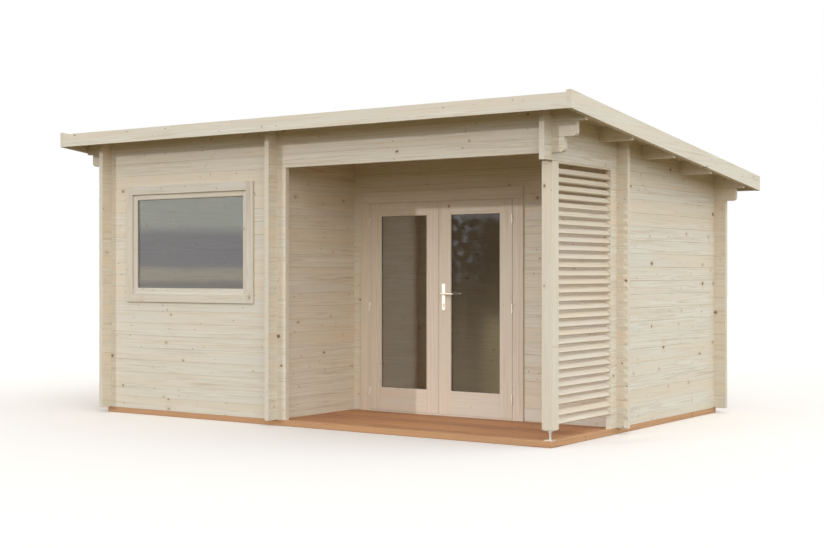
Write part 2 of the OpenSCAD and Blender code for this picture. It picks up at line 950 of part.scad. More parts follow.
base_rails();
base_sleepers();
floor_joists();
deck_joists();
terrace_boards();
room_floor();
left_wall();
right_wall();
right_upper_logs();
back_wall();
back_top_log();
front_wall_lower();
front_wall_left();
front_wall_right();
front_wall_upper();
front_header();
return_wall();
door_wall_left();
door_wall_right();
door_wall_over();
purlins();
roof_boards();
roof_felt();
front_fascia();
rear_fascia();
left_verge();
right_verge();
corner_post();
post_foot();
louvre_slats();
window_casing();
window_sash();
window_glass();
door_frame();
door_casing();
frame_hinges();
left_leaf();
left_glass();
left_hinges();
right_leaf();
right_glass();
right_hinges();
handle_plates();
key_cylinder();
handle_lever();
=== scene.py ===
import json
import math
import random

import bmesh
import bpy
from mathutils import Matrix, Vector

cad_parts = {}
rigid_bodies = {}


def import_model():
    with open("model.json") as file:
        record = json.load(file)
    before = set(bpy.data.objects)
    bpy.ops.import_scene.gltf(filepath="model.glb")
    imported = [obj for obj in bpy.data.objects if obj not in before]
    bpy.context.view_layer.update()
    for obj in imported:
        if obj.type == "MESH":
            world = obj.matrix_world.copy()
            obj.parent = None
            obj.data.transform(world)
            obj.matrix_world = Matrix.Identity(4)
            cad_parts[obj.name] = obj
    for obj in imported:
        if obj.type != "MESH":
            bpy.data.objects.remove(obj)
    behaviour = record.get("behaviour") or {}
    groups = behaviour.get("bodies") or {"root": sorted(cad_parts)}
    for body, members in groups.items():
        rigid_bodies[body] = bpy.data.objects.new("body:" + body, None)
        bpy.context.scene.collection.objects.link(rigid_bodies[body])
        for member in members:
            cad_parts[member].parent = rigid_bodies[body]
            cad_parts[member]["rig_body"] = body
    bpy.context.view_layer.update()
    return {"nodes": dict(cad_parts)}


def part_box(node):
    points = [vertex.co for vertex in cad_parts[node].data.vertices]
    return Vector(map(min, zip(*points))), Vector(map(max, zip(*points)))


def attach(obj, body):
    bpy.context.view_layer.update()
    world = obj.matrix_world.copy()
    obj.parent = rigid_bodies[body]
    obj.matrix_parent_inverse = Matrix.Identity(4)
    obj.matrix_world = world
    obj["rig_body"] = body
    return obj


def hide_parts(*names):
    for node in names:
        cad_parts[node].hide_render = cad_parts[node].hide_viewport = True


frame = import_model()


# Base beams
# Flat beams of pressure-treated softwood, red-brown from the treatment, that carry the whole cabin on the
# ground. They are sawn and planed, laid flat on their wider face, and butted and screwed at the corners.
class Wire:
    """A socket in a node tree that takes part in ordinary arithmetic."""

    def __init__(self, tree, socket):
        self.tree = tree
        self.socket = socket

    def maths(self, operation, first, second):
        return self.tree.node("ShaderNodeMath", {"operation": operation}, {0: first, 1: second})

    def __add__(self, other):
        return self.maths("ADD", self, other)

    def __radd__(self, other):
        return self.maths("ADD", other, self)

    def __sub__(self, other):
        return self.maths("SUBTRACT", self, other)

    def __rsub__(self, other):
        return self.maths("SUBTRACT", other, self)

    def __mul__(self, other):
        return self.maths("MULTIPLY", self, other)

    def __rmul__(self, other):
        return self.maths("MULTIPLY", other, self)

    def __truediv__(self, other):
        return self.maths("DIVIDE", self, other)

    def __pow__(self, other):
        return self.maths("POWER", self, other)


class Tree:
    """One node tree, of a finish, of the sky or of a repeated piece."""

    def __init__(self, tree):
        self.tree = tree
        tree.nodes.clear()

    def node(self, kind, settings=None, sockets=None, out=0):
        """Adds a node, sets it up first, then its sockets, and gives back one output or several."""
        made = self.tree.nodes.new(kind)
        for key, value in (settings or {}).items():
            setattr(made, key, value)
        for key, value in (sockets or {}).items():
            if isinstance(value, Wire):
                self.tree.links.new(value.socket, made.inputs[key])
            else:
                made.inputs[key].default_value = value
        if isinstance(out, tuple):
            return [Wire(self, made.outputs[key]) for key in out]
        return Wire(self, made.outputs[out]) if made.outputs else None

    def join(self, x, y, z):
        return self.node("ShaderNodeCombineXYZ", None, {0: x, 1: y, 2: z})

    def noise(self, x, y, z, detail=2.0, roughness=0.5):
        return self.node("ShaderNodeTexNoise", {"noise_dimensions": "3D"},
                         {"Vector": self.join(x, y, z), "Scale": 1.0,
                          "Detail": detail, "Roughness": roughness})

    def parts(self, vector, out=(0, 1, 2)):
        return self.node("ShaderNodeSeparateXYZ", None, {0: vector}, out=out)

    def one(self, operation, value):
        return self.node("ShaderNodeMath", {"operation": operation}, {0: value})

    def rise(self, value, start, end):
        """Smoothly from 0 at start to 1 at end."""
        return self.node("ShaderNodeMapRange", {"interpolation_type": "SMOOTHSTEP"},
                         {"Value": value, "From Min": start, "From Max": end, "To Min": 0.0, "To Max": 1.0})

    def mix(self, factor, first, second, blend="MIX"):
        return self.node("ShaderNodeMix", {"data_type": "RGBA", "blend_type": blend},
                         {0: factor, 6: first, 7: second}, out=2)

    def bump(self, height, strength, distance):
        return self.node("ShaderNodeBump", None, {"Strength": strength, "Distance": distance, "Height": height})

    def surface(self, sockets):
        """Ends a finish in one surface shader."""
        skin = self.node("ShaderNodeBsdfPrincipled", None, sockets)
        self.node("ShaderNodeOutputMaterial", None, {"Surface": skin})


def new_finish(name):
    finish = bpy.data.materials.new(name)
    finish.use_nodes = True
    return finish, Tree(finish.node_tree)


def shade(r, g, b):
    return (r, g, b, 1.0)


def between(first, second, share):
    return tuple(a + (b - a) * share for a, b in zip(first, second))


def timber(name, pale, deep, warm, cool, knot, knot_share=0.4, knot_size=0.015, pin_share=0.08,
           ring_gap=0.0055, grain=0.5, dry=0.62, relief=0.25, log=None):
    """Sawn and planed wood: yearly rings, fibres, knots that push the rings aside, and rings on the ends."""
    finish, tree = new_finish(name)
    if log is None:
        lay = tree.node("ShaderNodeAttribute", {"attribute_name": "lay"}, out="Vector")
        seed = tree.node("ShaderNodeAttribute", {"attribute_name": "board_seed"}, out="Fac")
        ends = tree.node("ShaderNodeAttribute", {"attribute_name": "end_grain"}, out="Fac")
        along, across, depth = tree.parts(lay)
    else:
        place, facing = tree.node("ShaderNodeTexCoord", out=("Object", "Normal"))
        px, py, pz = tree.parts(place)
        nx, ny = tree.parts(facing, out=(0, 1))
        along, depth, turned = (px, py, nx) if log["runs"] == "X" else (py, px, ny)
        course = tree.one("FLOOR", (pz - log["first"]) / log["course"])
        across = pz - log["first"] - (course + 0.5) * log["course"]
        depth = depth - log["middle"]
        ends = tree.rise(tree.one("ABSOLUTE", turned), 0.8, 0.9)
        seed = tree.node("ShaderNodeTexWhiteNoise", {"noise_dimensions": "2D"},
                         {"Vector": tree.join(course, log["middle"] * 37.0, 0.0)}, out="Value")
    far = seed * 23.0
    other = tree.one("FRACT", seed * 17.31)
    reach_on = along + far

    def spots(cell_long, cell_wide, share, size, shift):
        """Knots spread over the faces: how deep in a knot, how near to one, and a number of its own."""
        spread = tree.join(reach_on / cell_long + shift, across / cell_wide + far * 3.0, depth * 2.0 + far)
        spot, tint = tree.node("ShaderNodeTexVoronoi", {"voronoi_dimensions": "3D", "feature": "F1"},
                               {"Vector": spread, "Scale": 1.0, "Randomness": 0.9}, out=("Position", "Color"))
        away = tree.node("ShaderNodeVectorMath", {"operation": "SUBTRACT"}, {0: spread, 1: spot})
        away_long, away_wide = tree.parts(away, out=(0, 1))
        pick, big, own = tree.node("ShaderNodeSeparateColor", None, {0: tint}, out=(0, 1, 2))
        apart = tree.one("SQRT", (away_long * (cell_long * 0.75)) ** 2.0 + (away_wide * cell_wide) ** 2.0)
        apart = (apart + (ripple - 0.5) * (size * 0.6)) / (size * (0.3 + 1.05 * big ** 3.0))
        there = tree.rise(pick, 1.0 - share - 0.02, 1.0 - share + 0.02) * (1.0 - ends)
        core = there * (1.0 - tree.rise(apart, 0.45, 1.15))
        halo = there * (1.0 - tree.rise(apart, 0.6, 3.4))
        return core, halo, own

    ripple = tree.noise(reach_on * 70.0, across * 110.0, depth * 110.0, 2.0)
    knotted, round_knot, own = spots(0.40, 0.105, knot_share, knot_size, 0.0)
    knotted = knotted * (0.25 + 0.75 * tree.rise(tree.one("FRACT", own * 7.0), 0.3, 0.7))
    pinned, _, _ = spots(0.16, 0.05, pin_share, 0.0050, 40.0)

    wander = tree.noise(reach_on * 0.55, far, 0.0, 2.0) - 0.5
    fibre = tree.noise(reach_on * 5.0, across * 420.0 + far, depth * 420.0, 3.0, 0.6)
    streak = tree.noise(reach_on * 1.5, across * 68.0 + far, depth * 68.0, 4.0, 0.60)
    broad = tree.noise(reach_on * 0.7, across * 24.0 + far, depth * 24.0, 2.0)
    dash = tree.rise(tree.noise(reach_on * 3.2, across * 190.0 + far, depth * 190.0, 2.0), 0.58, 0.72)
    pith = (other - 0.5) * 0.07
    radius = tree.one("SQRT", (across - pith) ** 2.0 + (depth + 0.03 + other * 0.05) ** 2.0)
    bent = radius + wander * 0.035 + round_knot * 0.006 + (streak - 0.5) * 0.004
    ring = 0.5 + 0.5 * tree.one("SINE", bent * (2.0 * math.pi / ring_gap) + fibre * 1.2)
    late = ring ** 2.4

    cloud = tree.noise(reach_on * 0.9, across * 9.0 + far, depth * 4.0, 2.0)
    calm = tree.noise(reach_on * 1.3, across * 14.0 + far, depth * 6.0 + 9.0, 2.0)
    lively = 0.35 + 1.15 * tree.rise(calm, 0.35, 0.65)
    figure = late * 0.9 + (streak - 0.47) * 3.2 * lively + dash * lively
    wood = tree.mix(figure * grain + (fibre - 0.4) * 0.4, pale, deep)
    wood = tree.mix(tree.rise(broad + cloud * 0.6 + (seed - 0.5) * 0.5, 0.66, 1.2) * 0.75, wood, warm)
    wood = tree.mix(tree.rise(broad * 0.6 + cloud - (other - 0.5) * 0.6, 0.80, 0.25) * 0.6, wood, cool)
    wood = tree.mix(round_knot * 0.55, wood, between(warm, deep, 0.35))
    knot_tone = tree.mix(tree.rise(own, 0.35, 0.6), between(knot, warm, 0.5), knot)
    wood = tree.mix(knotted * 0.9, wood, knot_tone)
    wood = tree.mix(pinned * 0.85, wood, knot)
    cracks = tree.rise(tree.noise(across * 160.0 + far, depth * 160.0, far, 3.0, 0.65), 0.64, 0.72)
    sawn = tree.mix(late * 0.28 + cracks * 0.25, wood, deep)
    wood = tree.mix(ends, wood, sawn)
    if log is not None:
        # On logs a darker line is painted along each joint as painted shade in the V-groove, deeper in patches
        # along the log.
        seam = tree.one("ABSOLUTE", across) - log["course"] / 2
        patchy_seam_shade = tree.rise(tree.noise(reach_on * 0.8, course * 7.0, far, 2.0), 0.42, 0.7)
        painted_seam_shade = tree.rise(seam, -0.0032, -0.0004) * (0.1 + patchy_seam_shade * log["seam"]) * (1.0 - ends)
        wood = tree.mix(painted_seam_shade, wood, deep, "MULTIPLY")

    height = fibre * 0.5 - late * 0.4 - knotted * 0.5 - cracks * ends
    rough = dry + 0.14 * fibre - 0.12 * knotted + 0.1 * ends
    tree.surface({"Base Color": wood, "Roughness": rough, "Normal": tree.bump(height, relief, 0.0008),
                  "Specular IOR Level": 0.3})
    return finish


def finished(name, shape, finish, body):
    """Makes a shape a piece that rides on a body."""
    mesh = bpy.data.meshes.new(name)
    shape.to_mesh(mesh)
    shape.free()
    mesh.materials.append(finish)
    piece = bpy.data.objects.new(name, mesh)
    bpy.context.scene.collection.objects.link(piece)
    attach(piece, body)
    return piece


def planed(node, finish, edge=0.002):
    """The CAD boards of a node with their edges eased, each knowing its own grain direction."""
    source = frame["nodes"][node]
    draw = random.Random(node)
    shape = bmesh.new()
    shape.from_mesh(source.data)
    bmesh.ops.remove_doubles(shape, verts=shape.verts, dist=0.00001)
    bmesh.ops.dissolve_limit(shape, angle_limit=0.02, verts=shape.verts, edges=shape.edges)
    corners = [e for e in shape.edges
               if len(e.link_faces) == 2 and e.calc_face_angle() > 0.5 and e.calc_length() > 5 * edge]
    bmesh.ops.bevel(shape, geom=corners, offset=edge, segments=2, profile=0.5, affect="EDGES",
                    clamp_overlap=True)
    lay = shape.verts.layers.float_vector.new("lay")
    board_seed = shape.verts.layers.float.new("board_seed")
    end_grain = shape.loops.layers.float.new("end_grain")
    left = set(shape.verts)
    while left:
        first = min(left, key=lambda v: tuple(round(c, 4) for c in v.co))
        left.discard(first)
        board, reached = [], [first]
        while reached:
            vert = reached.pop()
            board.append(vert)
            for link in vert.link_edges:
                beside = link.other_vert(vert)
                if beside in left:
                    left.discard(beside)
                    reached.append(beside)
        low = Vector(min(v.co[i] for v in board) for i in range(3))
        high = Vector(max(v.co[i] for v in board) for i in range(3))
        run, wide, thick = sorted(range(3), key=lambda i: low[i] - high[i])
        middle = (low + high) / 2
        seed = draw.random()
        for vert in board:
            vert[board_seed] = seed
            vert[lay] = (vert.co[run], vert.co[wide] - middle[wide], vert.co[thick] - middle[thick])
        for face in {f for v in board for f in v.link_faces}:
            sawn = 1.0 if abs(face.normal[run]) > 0.8 else 0.0
            for loop in face.loops:
                loop[end_grain] = sawn
    piece = finished(node + "_planed", shape, finish, source["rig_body"])
    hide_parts(node)


brown = timber("treated_brown", pale=shade(0.62, 0.345, 0.178), deep=shade(0.40, 0.185, 0.085),
               warm=shade(0.64, 0.325, 0.150), cool=shade(0.51, 0.290, 0.165), knot=shade(0.13, 0.06, 0.03),
               knot_share=0.35, ring_gap=0.006, dry=0.68)
for node in ("base_rails", "base_sleepers"):
    planed(node, brown, edge=0.003)


# Joists
# Light battens between the base beams that hold up the floors, treated brown under the open terrace and plain
# spruce under the room. They lie on the ground between the beams and the boards are fixed down into them.
spruce_pale = shade(0.780, 0.712, 0.598)
spruce_deep = shade(0.590, 0.470, 0.330)
spruce_warm = shade(0.760, 0.630, 0.475)
spruce_cool = shade(0.715, 0.645, 0.560)
spruce_knot = shade(0.19, 0.105, 0.060)
spruce = timber("spruce_boards", pale=spruce_pale, deep=spruce_deep, warm=spruce_warm, cool=spruce_cool,
                knot=spruce_knot, knot_share=0.40, pin_share=0.14)
planed("deck_joists", brown, edge=0.002)
planed("floor_joists", spruce, edge=0.002)


# Terrace boards
# Eight red-brown treated deck boards laid along the terrace with narrow gaps, their edges rounded off.
# Each is fixed to every joist by two countersunk zinc screws.
deck = timber("deck_boards", pale=shade(0.60, 0.292, 0.140), deep=shade(0.33, 0.130, 0.055),
              warm=shade(0.69, 0.335, 0.147), cool=shade(0.42, 0.208, 0.110), knot=shade(0.13, 0.055, 0.025),
              knot_share=0.62, pin_share=0.2, ring_gap=0.005, grain=1.0, dry=0.55)
planed("terrace_boards", deck, edge=0.004)


def metal(name, colour, streaks, dull):
    """Plated or brushed metal with fine rub marks and a slightly uneven shine."""
    finish, tree = new_finish(name)
    px, py, pz = tree.parts(tree.node("ShaderNodeTexCoord", out="Object"))
    rub = tree.noise(px * 900.0, py * 900.0, pz * 90.0, 3.0)
    patch = tree.noise(px * 60.0, py * 60.0, pz * 60.0, 3.0)
    tone = tree.mix(0.35 * patch + 0.3 * rub, colour, streaks)
    tree.surface({"Base Color": tone, "Metallic": 1.0, "Roughness": dull + 0.16 * patch + 0.1 * rub,
                  "Normal": tree.bump(rub, 0.12, 0.0003)})
    return finish


def screw_head():
    """A countersunk head of unit radius with a cross recess, its face at the origin."""
    shape = bmesh.new()
    sides, arm, reach = 12, 0.17, 0.55
    cross = [(reach, -arm), (reach, arm), (arm, arm), (arm, reach), (-arm, reach), (-arm, arm),
             (-reach, arm), (-reach, -arm), (-arm, -arm), (-arm, -reach), (arm, -reach), (arm, -arm)]
    angles = [2.0 * math.pi * (n - 0.5) / sides for n in range(sides)]

    def circle(radius, z):
        return [shape.verts.new((radius * math.cos(a), radius * math.sin(a), z)) for a in angles]

    rim = circle(1.0, -0.06)
    face = circle(0.86, 0.08)
    under = circle(0.75, -0.4)
    slot_top = [shape.verts.new((x, y, 0.1)) for x, y in cross]
    slot_low = [shape.verts.new((0.7 * x, 0.7 * y, -0.3)) for x, y in cross]
    rows = [under, rim, face, slot_top, slot_low]
    for lower, upper in zip(rows, rows[1:]):
        for n in range(sides):
            m = (n + 1) % sides
            shape.faces.new((lower[n], lower[m], upper[m], upper[n]))
    shape.faces.new(slot_low)
    shape.faces.new(list(reversed(under)))
    bmesh.ops.recalc_face_normals(shape, faces=shape.faces)
    mesh = bpy.data.meshes.new("screw_head")
    shape.to_mesh(mesh)
    shape.free()
    return bpy.data.objects.new("screw_head", mesh)


def settled(piece):
    """Turns what a piece's node tree makes into its plain mesh."""
    seen = bpy.context.evaluated_depsgraph_get()
    mesh = bpy.data.meshes.new_from_object(piece.evaluated_get(seen), preserve_all_data_layers=True,
                                           depsgraph=seen)
    piece.modifiers.clear()
    old = piece.data
    piece.data = mesh
    mesh.name = piece.name
    bpy.data.meshes.remove(old)


def run_tree(piece, group, values):
    """Puts a node tree on a piece and sets its named inputs by their identifiers."""
    modifier = piece.modifiers.new(group.name, "NODES")
    modifier.node_group = group
    for item in group.interface.items_tree:
        if item.item_type == "SOCKET" and item.in_out == "INPUT" and item.name in values:
            modifier[item.identifier] = values[item.name]
    settled(piece)


def new_group(name, inputs):
    """An empty node tree that gives a shape and has named inputs."""
    group = bpy.data.node_groups.new(name, "GeometryNodeTree")
    group.interface.new_socket("Geometry", in_out="OUTPUT", socket_type="NodeSocketGeometry")
    for label, kind in inputs.items():
        group.interface.new_socket(label, in_out="INPUT", socket_type="NodeSocket" + kind)
    return group, Tree(group)


def fixings_tree():
    """A fixing on every point of a mesh, facing the way that the point's own attribute says."""
    group, tree = new_group("fixings", {"Geometry": "Geometry", "Head": "Object", "Head Radius": "Float",
                                        "Finish": "Material", "Seed": "Int"})
    points, head, radius, finish, seed = tree.node("NodeGroupInput", out=(0, 1, 2, 3, 4))
    facing = tree.node("GeometryNodeInputNamedAttribute", {"data_type": "FLOAT_VECTOR"}, {"Name": "facing"})
    spin = tree.node("FunctionNodeRandomValue", {"data_type": "FLOAT"},
                     {2: 0.0, 3: math.pi, "Seed": seed}, out=1)
    turn = tree.node("FunctionNodeAlignRotationToVector", {"axis": "Z"}, {"Vector": facing})
    own = tree.node("FunctionNodeAxisAngleToRotation", None, {"Axis": (0.0, 0.0, 1.0), "Angle": spin})
    both = tree.node("FunctionNodeRotateRotation", {"rotation_space": "LOCAL"}, {0: turn, 1: own})
    shape = tree.node("GeometryNodeObjectInfo", None, {"Object": head}, out="Geometry")
    size = tree.join(radius, radius, radius)
    spread = tree.node("GeometryNodeInstanceOnPoints", None,
                       {"Points": points, "Instance": shape, "Rotation": both, "Scale": size})
    solid = tree.node("GeometryNodeRealizeInstances", None, {0: spread})
    done = tree.node("GeometryNodeSetMaterial", None, {"Geometry": solid, "Material": finish})
    tree.node("NodeGroupOutput", None, {0: done})
    return group


fixings = fixings_tree()
cross_head = screw_head()
zinc = metal("zinc_plate", shade(0.78, 0.75, 0.70), shade(0.58, 0.56, 0.53), 0.38)


def fixed_by(name, spots, radius, finish, body):
    """Screws at spots, a list of (place, direction that the head faces)."""
    mesh = bpy.data.meshes.new(name)
    mesh.from_pydata([spot for spot, _ in spots], [], [])
    facing = mesh.attributes.new("facing", "FLOAT_VECTOR", "POINT")
    for n, (_, way) in enumerate(spots):
        facing.data[n].vector = way
    piece = bpy.data.objects.new(name, mesh)
    bpy.context.scene.collection.objects.link(piece)
    run_tree(piece, fixings, {"Head": cross_head, "Head Radius": radius, "Finish": finish,
                              "Seed": len(spots)})
    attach(piece, body)


deck_low, deck_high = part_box("terrace_boards")
board_n, board_gap = 8, 0.005
board_pitch = (deck_high.y - deck_low.y + board_gap) / board_n
deck_screw_r, screw_sunk, screw_side, screw_in = 0.0042, 0.0003, 0.034, 0.03
joist_x = [0.0, 0.59, 1.18, 1.77, deck_low.x + screw_in, deck_high.x - screw_in]
up = (0.0, 0.0, 1.0)
deck_spots = []
for n in range(board_n):
    middle = deck_low.y + (n + 0.5) * board_pitch - board_gap / 2
    for x in joist_x:
        for y in (middle - screw_side, middle + screw_side):
            deck_spots.append(((x, y, deck_high.z - screw_sunk), up))
fixed_by("terrace_screws", deck_spots, deck_screw_r, zinc, "root")


# Room floor
# Tongued and grooved spruce boards laid along the room, each 20 mm thick with a small chamfer at the joint.
# They are nailed through the tongue, so no fixing shows.
def board_rows_tree():
    """Boards side by side: one rounded section swept along a line, repeated at a pitch."""
    group, tree = new_group("board_rows", {
        "Board Width": "Float", "Board Thickness": "Float", "Edge Radius": "Float",
        "First Board": "Vector", "Board Step": "Vector", "Board Run": "Vector",
        "Board Count": "Int", "Finish": "Material", "Seed": "Int"})
    wide, thick, edge, first, step, run, count, finish, seed = tree.node("NodeGroupInput", out=tuple(range(9)))
    line = tree.node("GeometryNodeCurvePrimitiveLine", None, {"Start": (0.0, 0.0, 0.0), "End": run})
    level = tree.node("GeometryNodeSetCurveNormal", {"mode": "Z_UP"}, {"Curve": line})
    section = tree.node("GeometryNodeCurvePrimitiveQuadrilateral", {"mode": "RECTANGLE"},
                        {"Width": wide, "Height": thick})
    eased = tree.node("GeometryNodeFilletCurve", {"mode": "POLY"},
                      {"Curve": section, "Radius": edge, "Count": 1})
    board = tree.node("GeometryNodeCurveToMesh", None,
                      {"Curve": level, "Profile Curve": eased, "Fill Caps": True})
    px, py, pz = tree.parts(tree.node("GeometryNodeInputPosition"))
    rx, ry = tree.parts(run, out=(0, 1))
    along_x = tree.node("FunctionNodeCompare", {"data_type": "FLOAT", "operation": "GREATER_THAN"},
                        {0: tree.one("ABSOLUTE", rx), 1: tree.one("ABSOLUTE", ry)})
    lay = tree.node("GeometryNodeSwitch", {"input_type": "VECTOR"},
                    {0: along_x, 1: tree.join(py, px, pz), 2: tree.join(px, py, pz)})
    kept = tree.node("GeometryNodeStoreNamedAttribute", {"data_type": "FLOAT_VECTOR", "domain": "POINT"},
                     {"Geometry": board, "Name": "lay", "Value": lay})
    straight = tree.node("ShaderNodeVectorMath", {"operation": "NORMALIZE"}, {0: run})
    normal = tree.node("GeometryNodeInputNormal")
    turned = tree.node("ShaderNodeVectorMath", {"operation": "DOT_PRODUCT"},
                       {0: normal, 1: straight}, out="Value")
    ends = tree.node("ShaderNodeMath", {"operation": "GREATER_THAN"},
                     {0: tree.one("ABSOLUTE", turned), 1: 0.8})
    kept = tree.node("GeometryNodeStoreNamedAttribute", {"data_type": "FLOAT", "domain": "FACE"},
                     {"Geometry": kept, "Name": "end_grain", "Value": ends})
    points = tree.node("GeometryNodeMeshLine", {"mode": "OFFSET"},
                       {"Count": count, "Start Location": first, "Offset": step})
    rows = tree.node("GeometryNodeInstanceOnPoints", None, {"Points": points, "Instance": kept})
    draw = tree.node("FunctionNodeRandomValue", {"data_type": "FLOAT"}, {2: 0.0, 3: 1.0, "Seed": seed}, out=1)
    rows = tree.node("GeometryNodeStoreNamedAttribute", {"data_type": "FLOAT", "domain": "INSTANCE"},
                     {"Geometry": rows, "Name": "board_seed", "Value": draw})
    solid = tree.node("GeometryNodeRealizeInstances", None, {0: rows})
    done = tree.node("GeometryNodeSetMaterial", None, {"Geometry": solid, "Material": finish})
    tree.node("NodeGroupOutput", None, {0: done})
    return group


board_rows = board_rows_tree()


def boarded(name, values, body):
    """A field of boards made by the node tree, as a plain mesh that rides on a body."""
    piece = bpy.data.objects.new(name, bpy.data.meshes.new(name))
    bpy.context.scene.collection.objects.link(piece)
    run_tree(piece, board_rows, values)
    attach(piece, body)
    return piece


floor_low, floor_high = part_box("room_floor")
floor_t = floor_high.z - floor_low.z
floor_board_w, board_joint, floor_edge = 0.095, 0.0006, 0.002
return_x, inner_y, butt_gap = -0.3505, -0.424, 0.0005
floor_parts = {"room_floor_boards": (floor_low.x, return_x - butt_gap, floor_low.y),
               "sauna_floor_boards": (return_x + butt_gap, floor_high.x, inner_y)}
for part, (name, (x0, x1, y0)) in enumerate(floor_parts.items()):
    count = round((floor_high.y - y0) / floor_board_w)
    pitch = (floor_high.y - y0) / count
    piece = boarded(name, {
        "Board Width": pitch - board_joint, "Board Thickness": floor_t, "Edge Radius": floor_edge,
        "First Board": (x0, y0 + pitch / 2, floor_low.z + floor_t / 2),
        "Board Step": (0.0, pitch, 0.0), "Board Run": (x1 - x0, 0.0, 0.0),
        "Board Count": count, "Finish": spruce, "Seed": 11 + part}, "root")
    if part == 0:
        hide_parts("room_floor")


# Log walls
# Planed spruce logs, 44 mm thick and about 113 mm high, that stack with a V-groove at every joint. They are
# notched half through at each crossing and run on past the corners, so the walls lock with no nails.
course = 0.1125
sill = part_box("front_wall_lower")[0].z
log_rooms = {
    "front": ("X", sill, ["front_wall_lower", "front_wall_left", "front_wall_right", "front_wall_upper",
                          "front_header"]),
    "door_side": ("X", sill, ["door_wall_left", "door_wall_right", "door_wall_over"]),
    "back": ("X", sill, ["back_wall", "back_top_log"]),
    "left": ("Y", sill - course / 2, ["left_wall"]),
    "return": ("Y", sill - course / 2, ["return_wall"]),
    "right": ("Y", sill - course / 2, ["right_wall", "right_upper_logs"]),
}
for room, (runs, first, nodes) in log_rooms.items():
    low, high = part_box(nodes[0])
    across_axis = 1 if runs == "X" else 0
    finish = timber("logs_" + room, pale=spruce_pale, deep=spruce_deep, warm=spruce_warm, cool=spruce_cool,
                    knot=spruce_knot, knot_share=0.54, pin_share=0.17,
                    # seam sets how deep the painted shade along the log joints goes.
                    log={"runs": runs, "first": first, "course": course, "seam": 0.55,
                         "middle": (low[across_axis] + high[across_axis]) / 2})
    for node in nodes:
        frame["nodes"][node].data.materials[0] = finish


# Purlins and roof boards
# Five spruce purlins on edge carry a deck of tongued and grooved roof boards that run from front to back.
# The boards are nailed from above; their chamfered joints show under the overhang.
planed("purlins", spruce, edge=0.002)
cover_low, cover_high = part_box("roof_boards")
roof_t, roof_board_w, roof_edge = 0.019, 0.113, 0.003
roof_drop = 0.10866
slope_long = math.sqrt(1.0 + roof_drop * roof_drop)
roof_run = (0.0, cover_high.y - cover_low.y, -roof_drop * (cover_high.y - cover_low.y))
roof_n = round((cover_high.x - cover_low.x) / roof_board_w)
roof_pitch = (cover_high.x - cover_low.x) / roof_n
roof_deck = boarded("roof_deck_boards", {
    "Board Width": roof_pitch - board_joint, "Board Thickness": roof_t, "Edge Radius": roof_edge,
    "First Board": (cover_low.x + roof_pitch / 2, cover_low.y, cover_high.z - roof_t * slope_long / 2),
    "Board Step": (roof_pitch, 0.0, 0.0), "Board Run": roof_run,
    "Board Count": roof_n, "Finish": spruce, "Seed": 5}, "root")
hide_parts("roof_boards")


# Roofing felt
# Sheets of mineral-faced bitumen felt rolled out along the eave, each lapping the one below it by a hand's
# width. They are nailed where the next sheet covers them, so no nail shows.
felt_low, felt_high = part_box("roof_felt")
sheet_t, felt_lap, felt_n, felt_columns = 0.00225, 0.08, 4, 25
felt_bend, felt_raise, felt_tuck, felt_wave = 0.12, 0.0024, 0.0008, 0.0015
felt_reach = (felt_high.y - felt_low.y) / felt_n
felt, felt_tree = new_finish("mineral_felt")
felt_place = felt_tree.node("ShaderNodeTexCoord", out="Object")
fx, fy = felt_tree.parts(felt_place, out=(0, 1))
chips, chip_tint = felt_tree.node("ShaderNodeTexVoronoi", {"feature": "F1"},
                                  {"Vector": felt_place, "Scale": 420.0}, out=("Distance", "Color"))
chip_pick = felt_tree.node("ShaderNodeSeparateColor", None, {0: chip_tint}, out=0)
weather = felt_tree.noise(fx * 1.7, fy * 0.8, 0.0, 4.0, 0.6)
runs_down = felt_tree.noise(fx * 14.0, fy * 0.9, 3.0, 3.0)
sheet_way = (felt_high.y - fy) / felt_reach
sheet = felt_tree.one("FLOOR", sheet_way)
sheet_tone = felt_tree.node("ShaderNodeTexWhiteNoise", {"noise_dimensions": "1D"}, {"W": sheet}, out="Value")
bleed = (sheet_way - sheet) * felt_reach - 0.010 * felt_tree.noise(fx * 9.0, sheet, 0.0, 3.0)
bleed = 1.0 - felt_tree.rise(bleed, 0.002, 0.009)
felt_tone = felt_tree.mix(chip_pick, shade(0.034, 0.034, 0.036), shade(0.125, 0.123, 0.122))
felt_tone = felt_tree.mix(felt_tree.rise(weather, 0.35, 0.75) * 0.5, felt_tone, shade(0.110, 0.104, 0.094))
felt_tone = felt_tree.mix(felt_tree.rise(runs_down, 0.55, 0.8) * 0.35, felt_tone, shade(0.048, 0.048, 0.048))
felt_tone = felt_tree.mix(sheet_tone * 0.4, felt_tone, shade(0.050, 0.050, 0.052))
felt_tone = felt_tree.mix(bleed * 0.85, felt_tone, shade(0.010, 0.010, 0.011))
felt_tree.surface({"Base Color": felt_tone, "Roughness": 0.82 + 0.12 * weather - 0.35 * bleed,
                   "Normal": felt_tree.bump(1.0 - chips, 0.7, 0.0012), "Specular IOR Level": 0.35})


def felt_top(y):
    return felt_high.z - (y - felt_low.y) * roof_drop


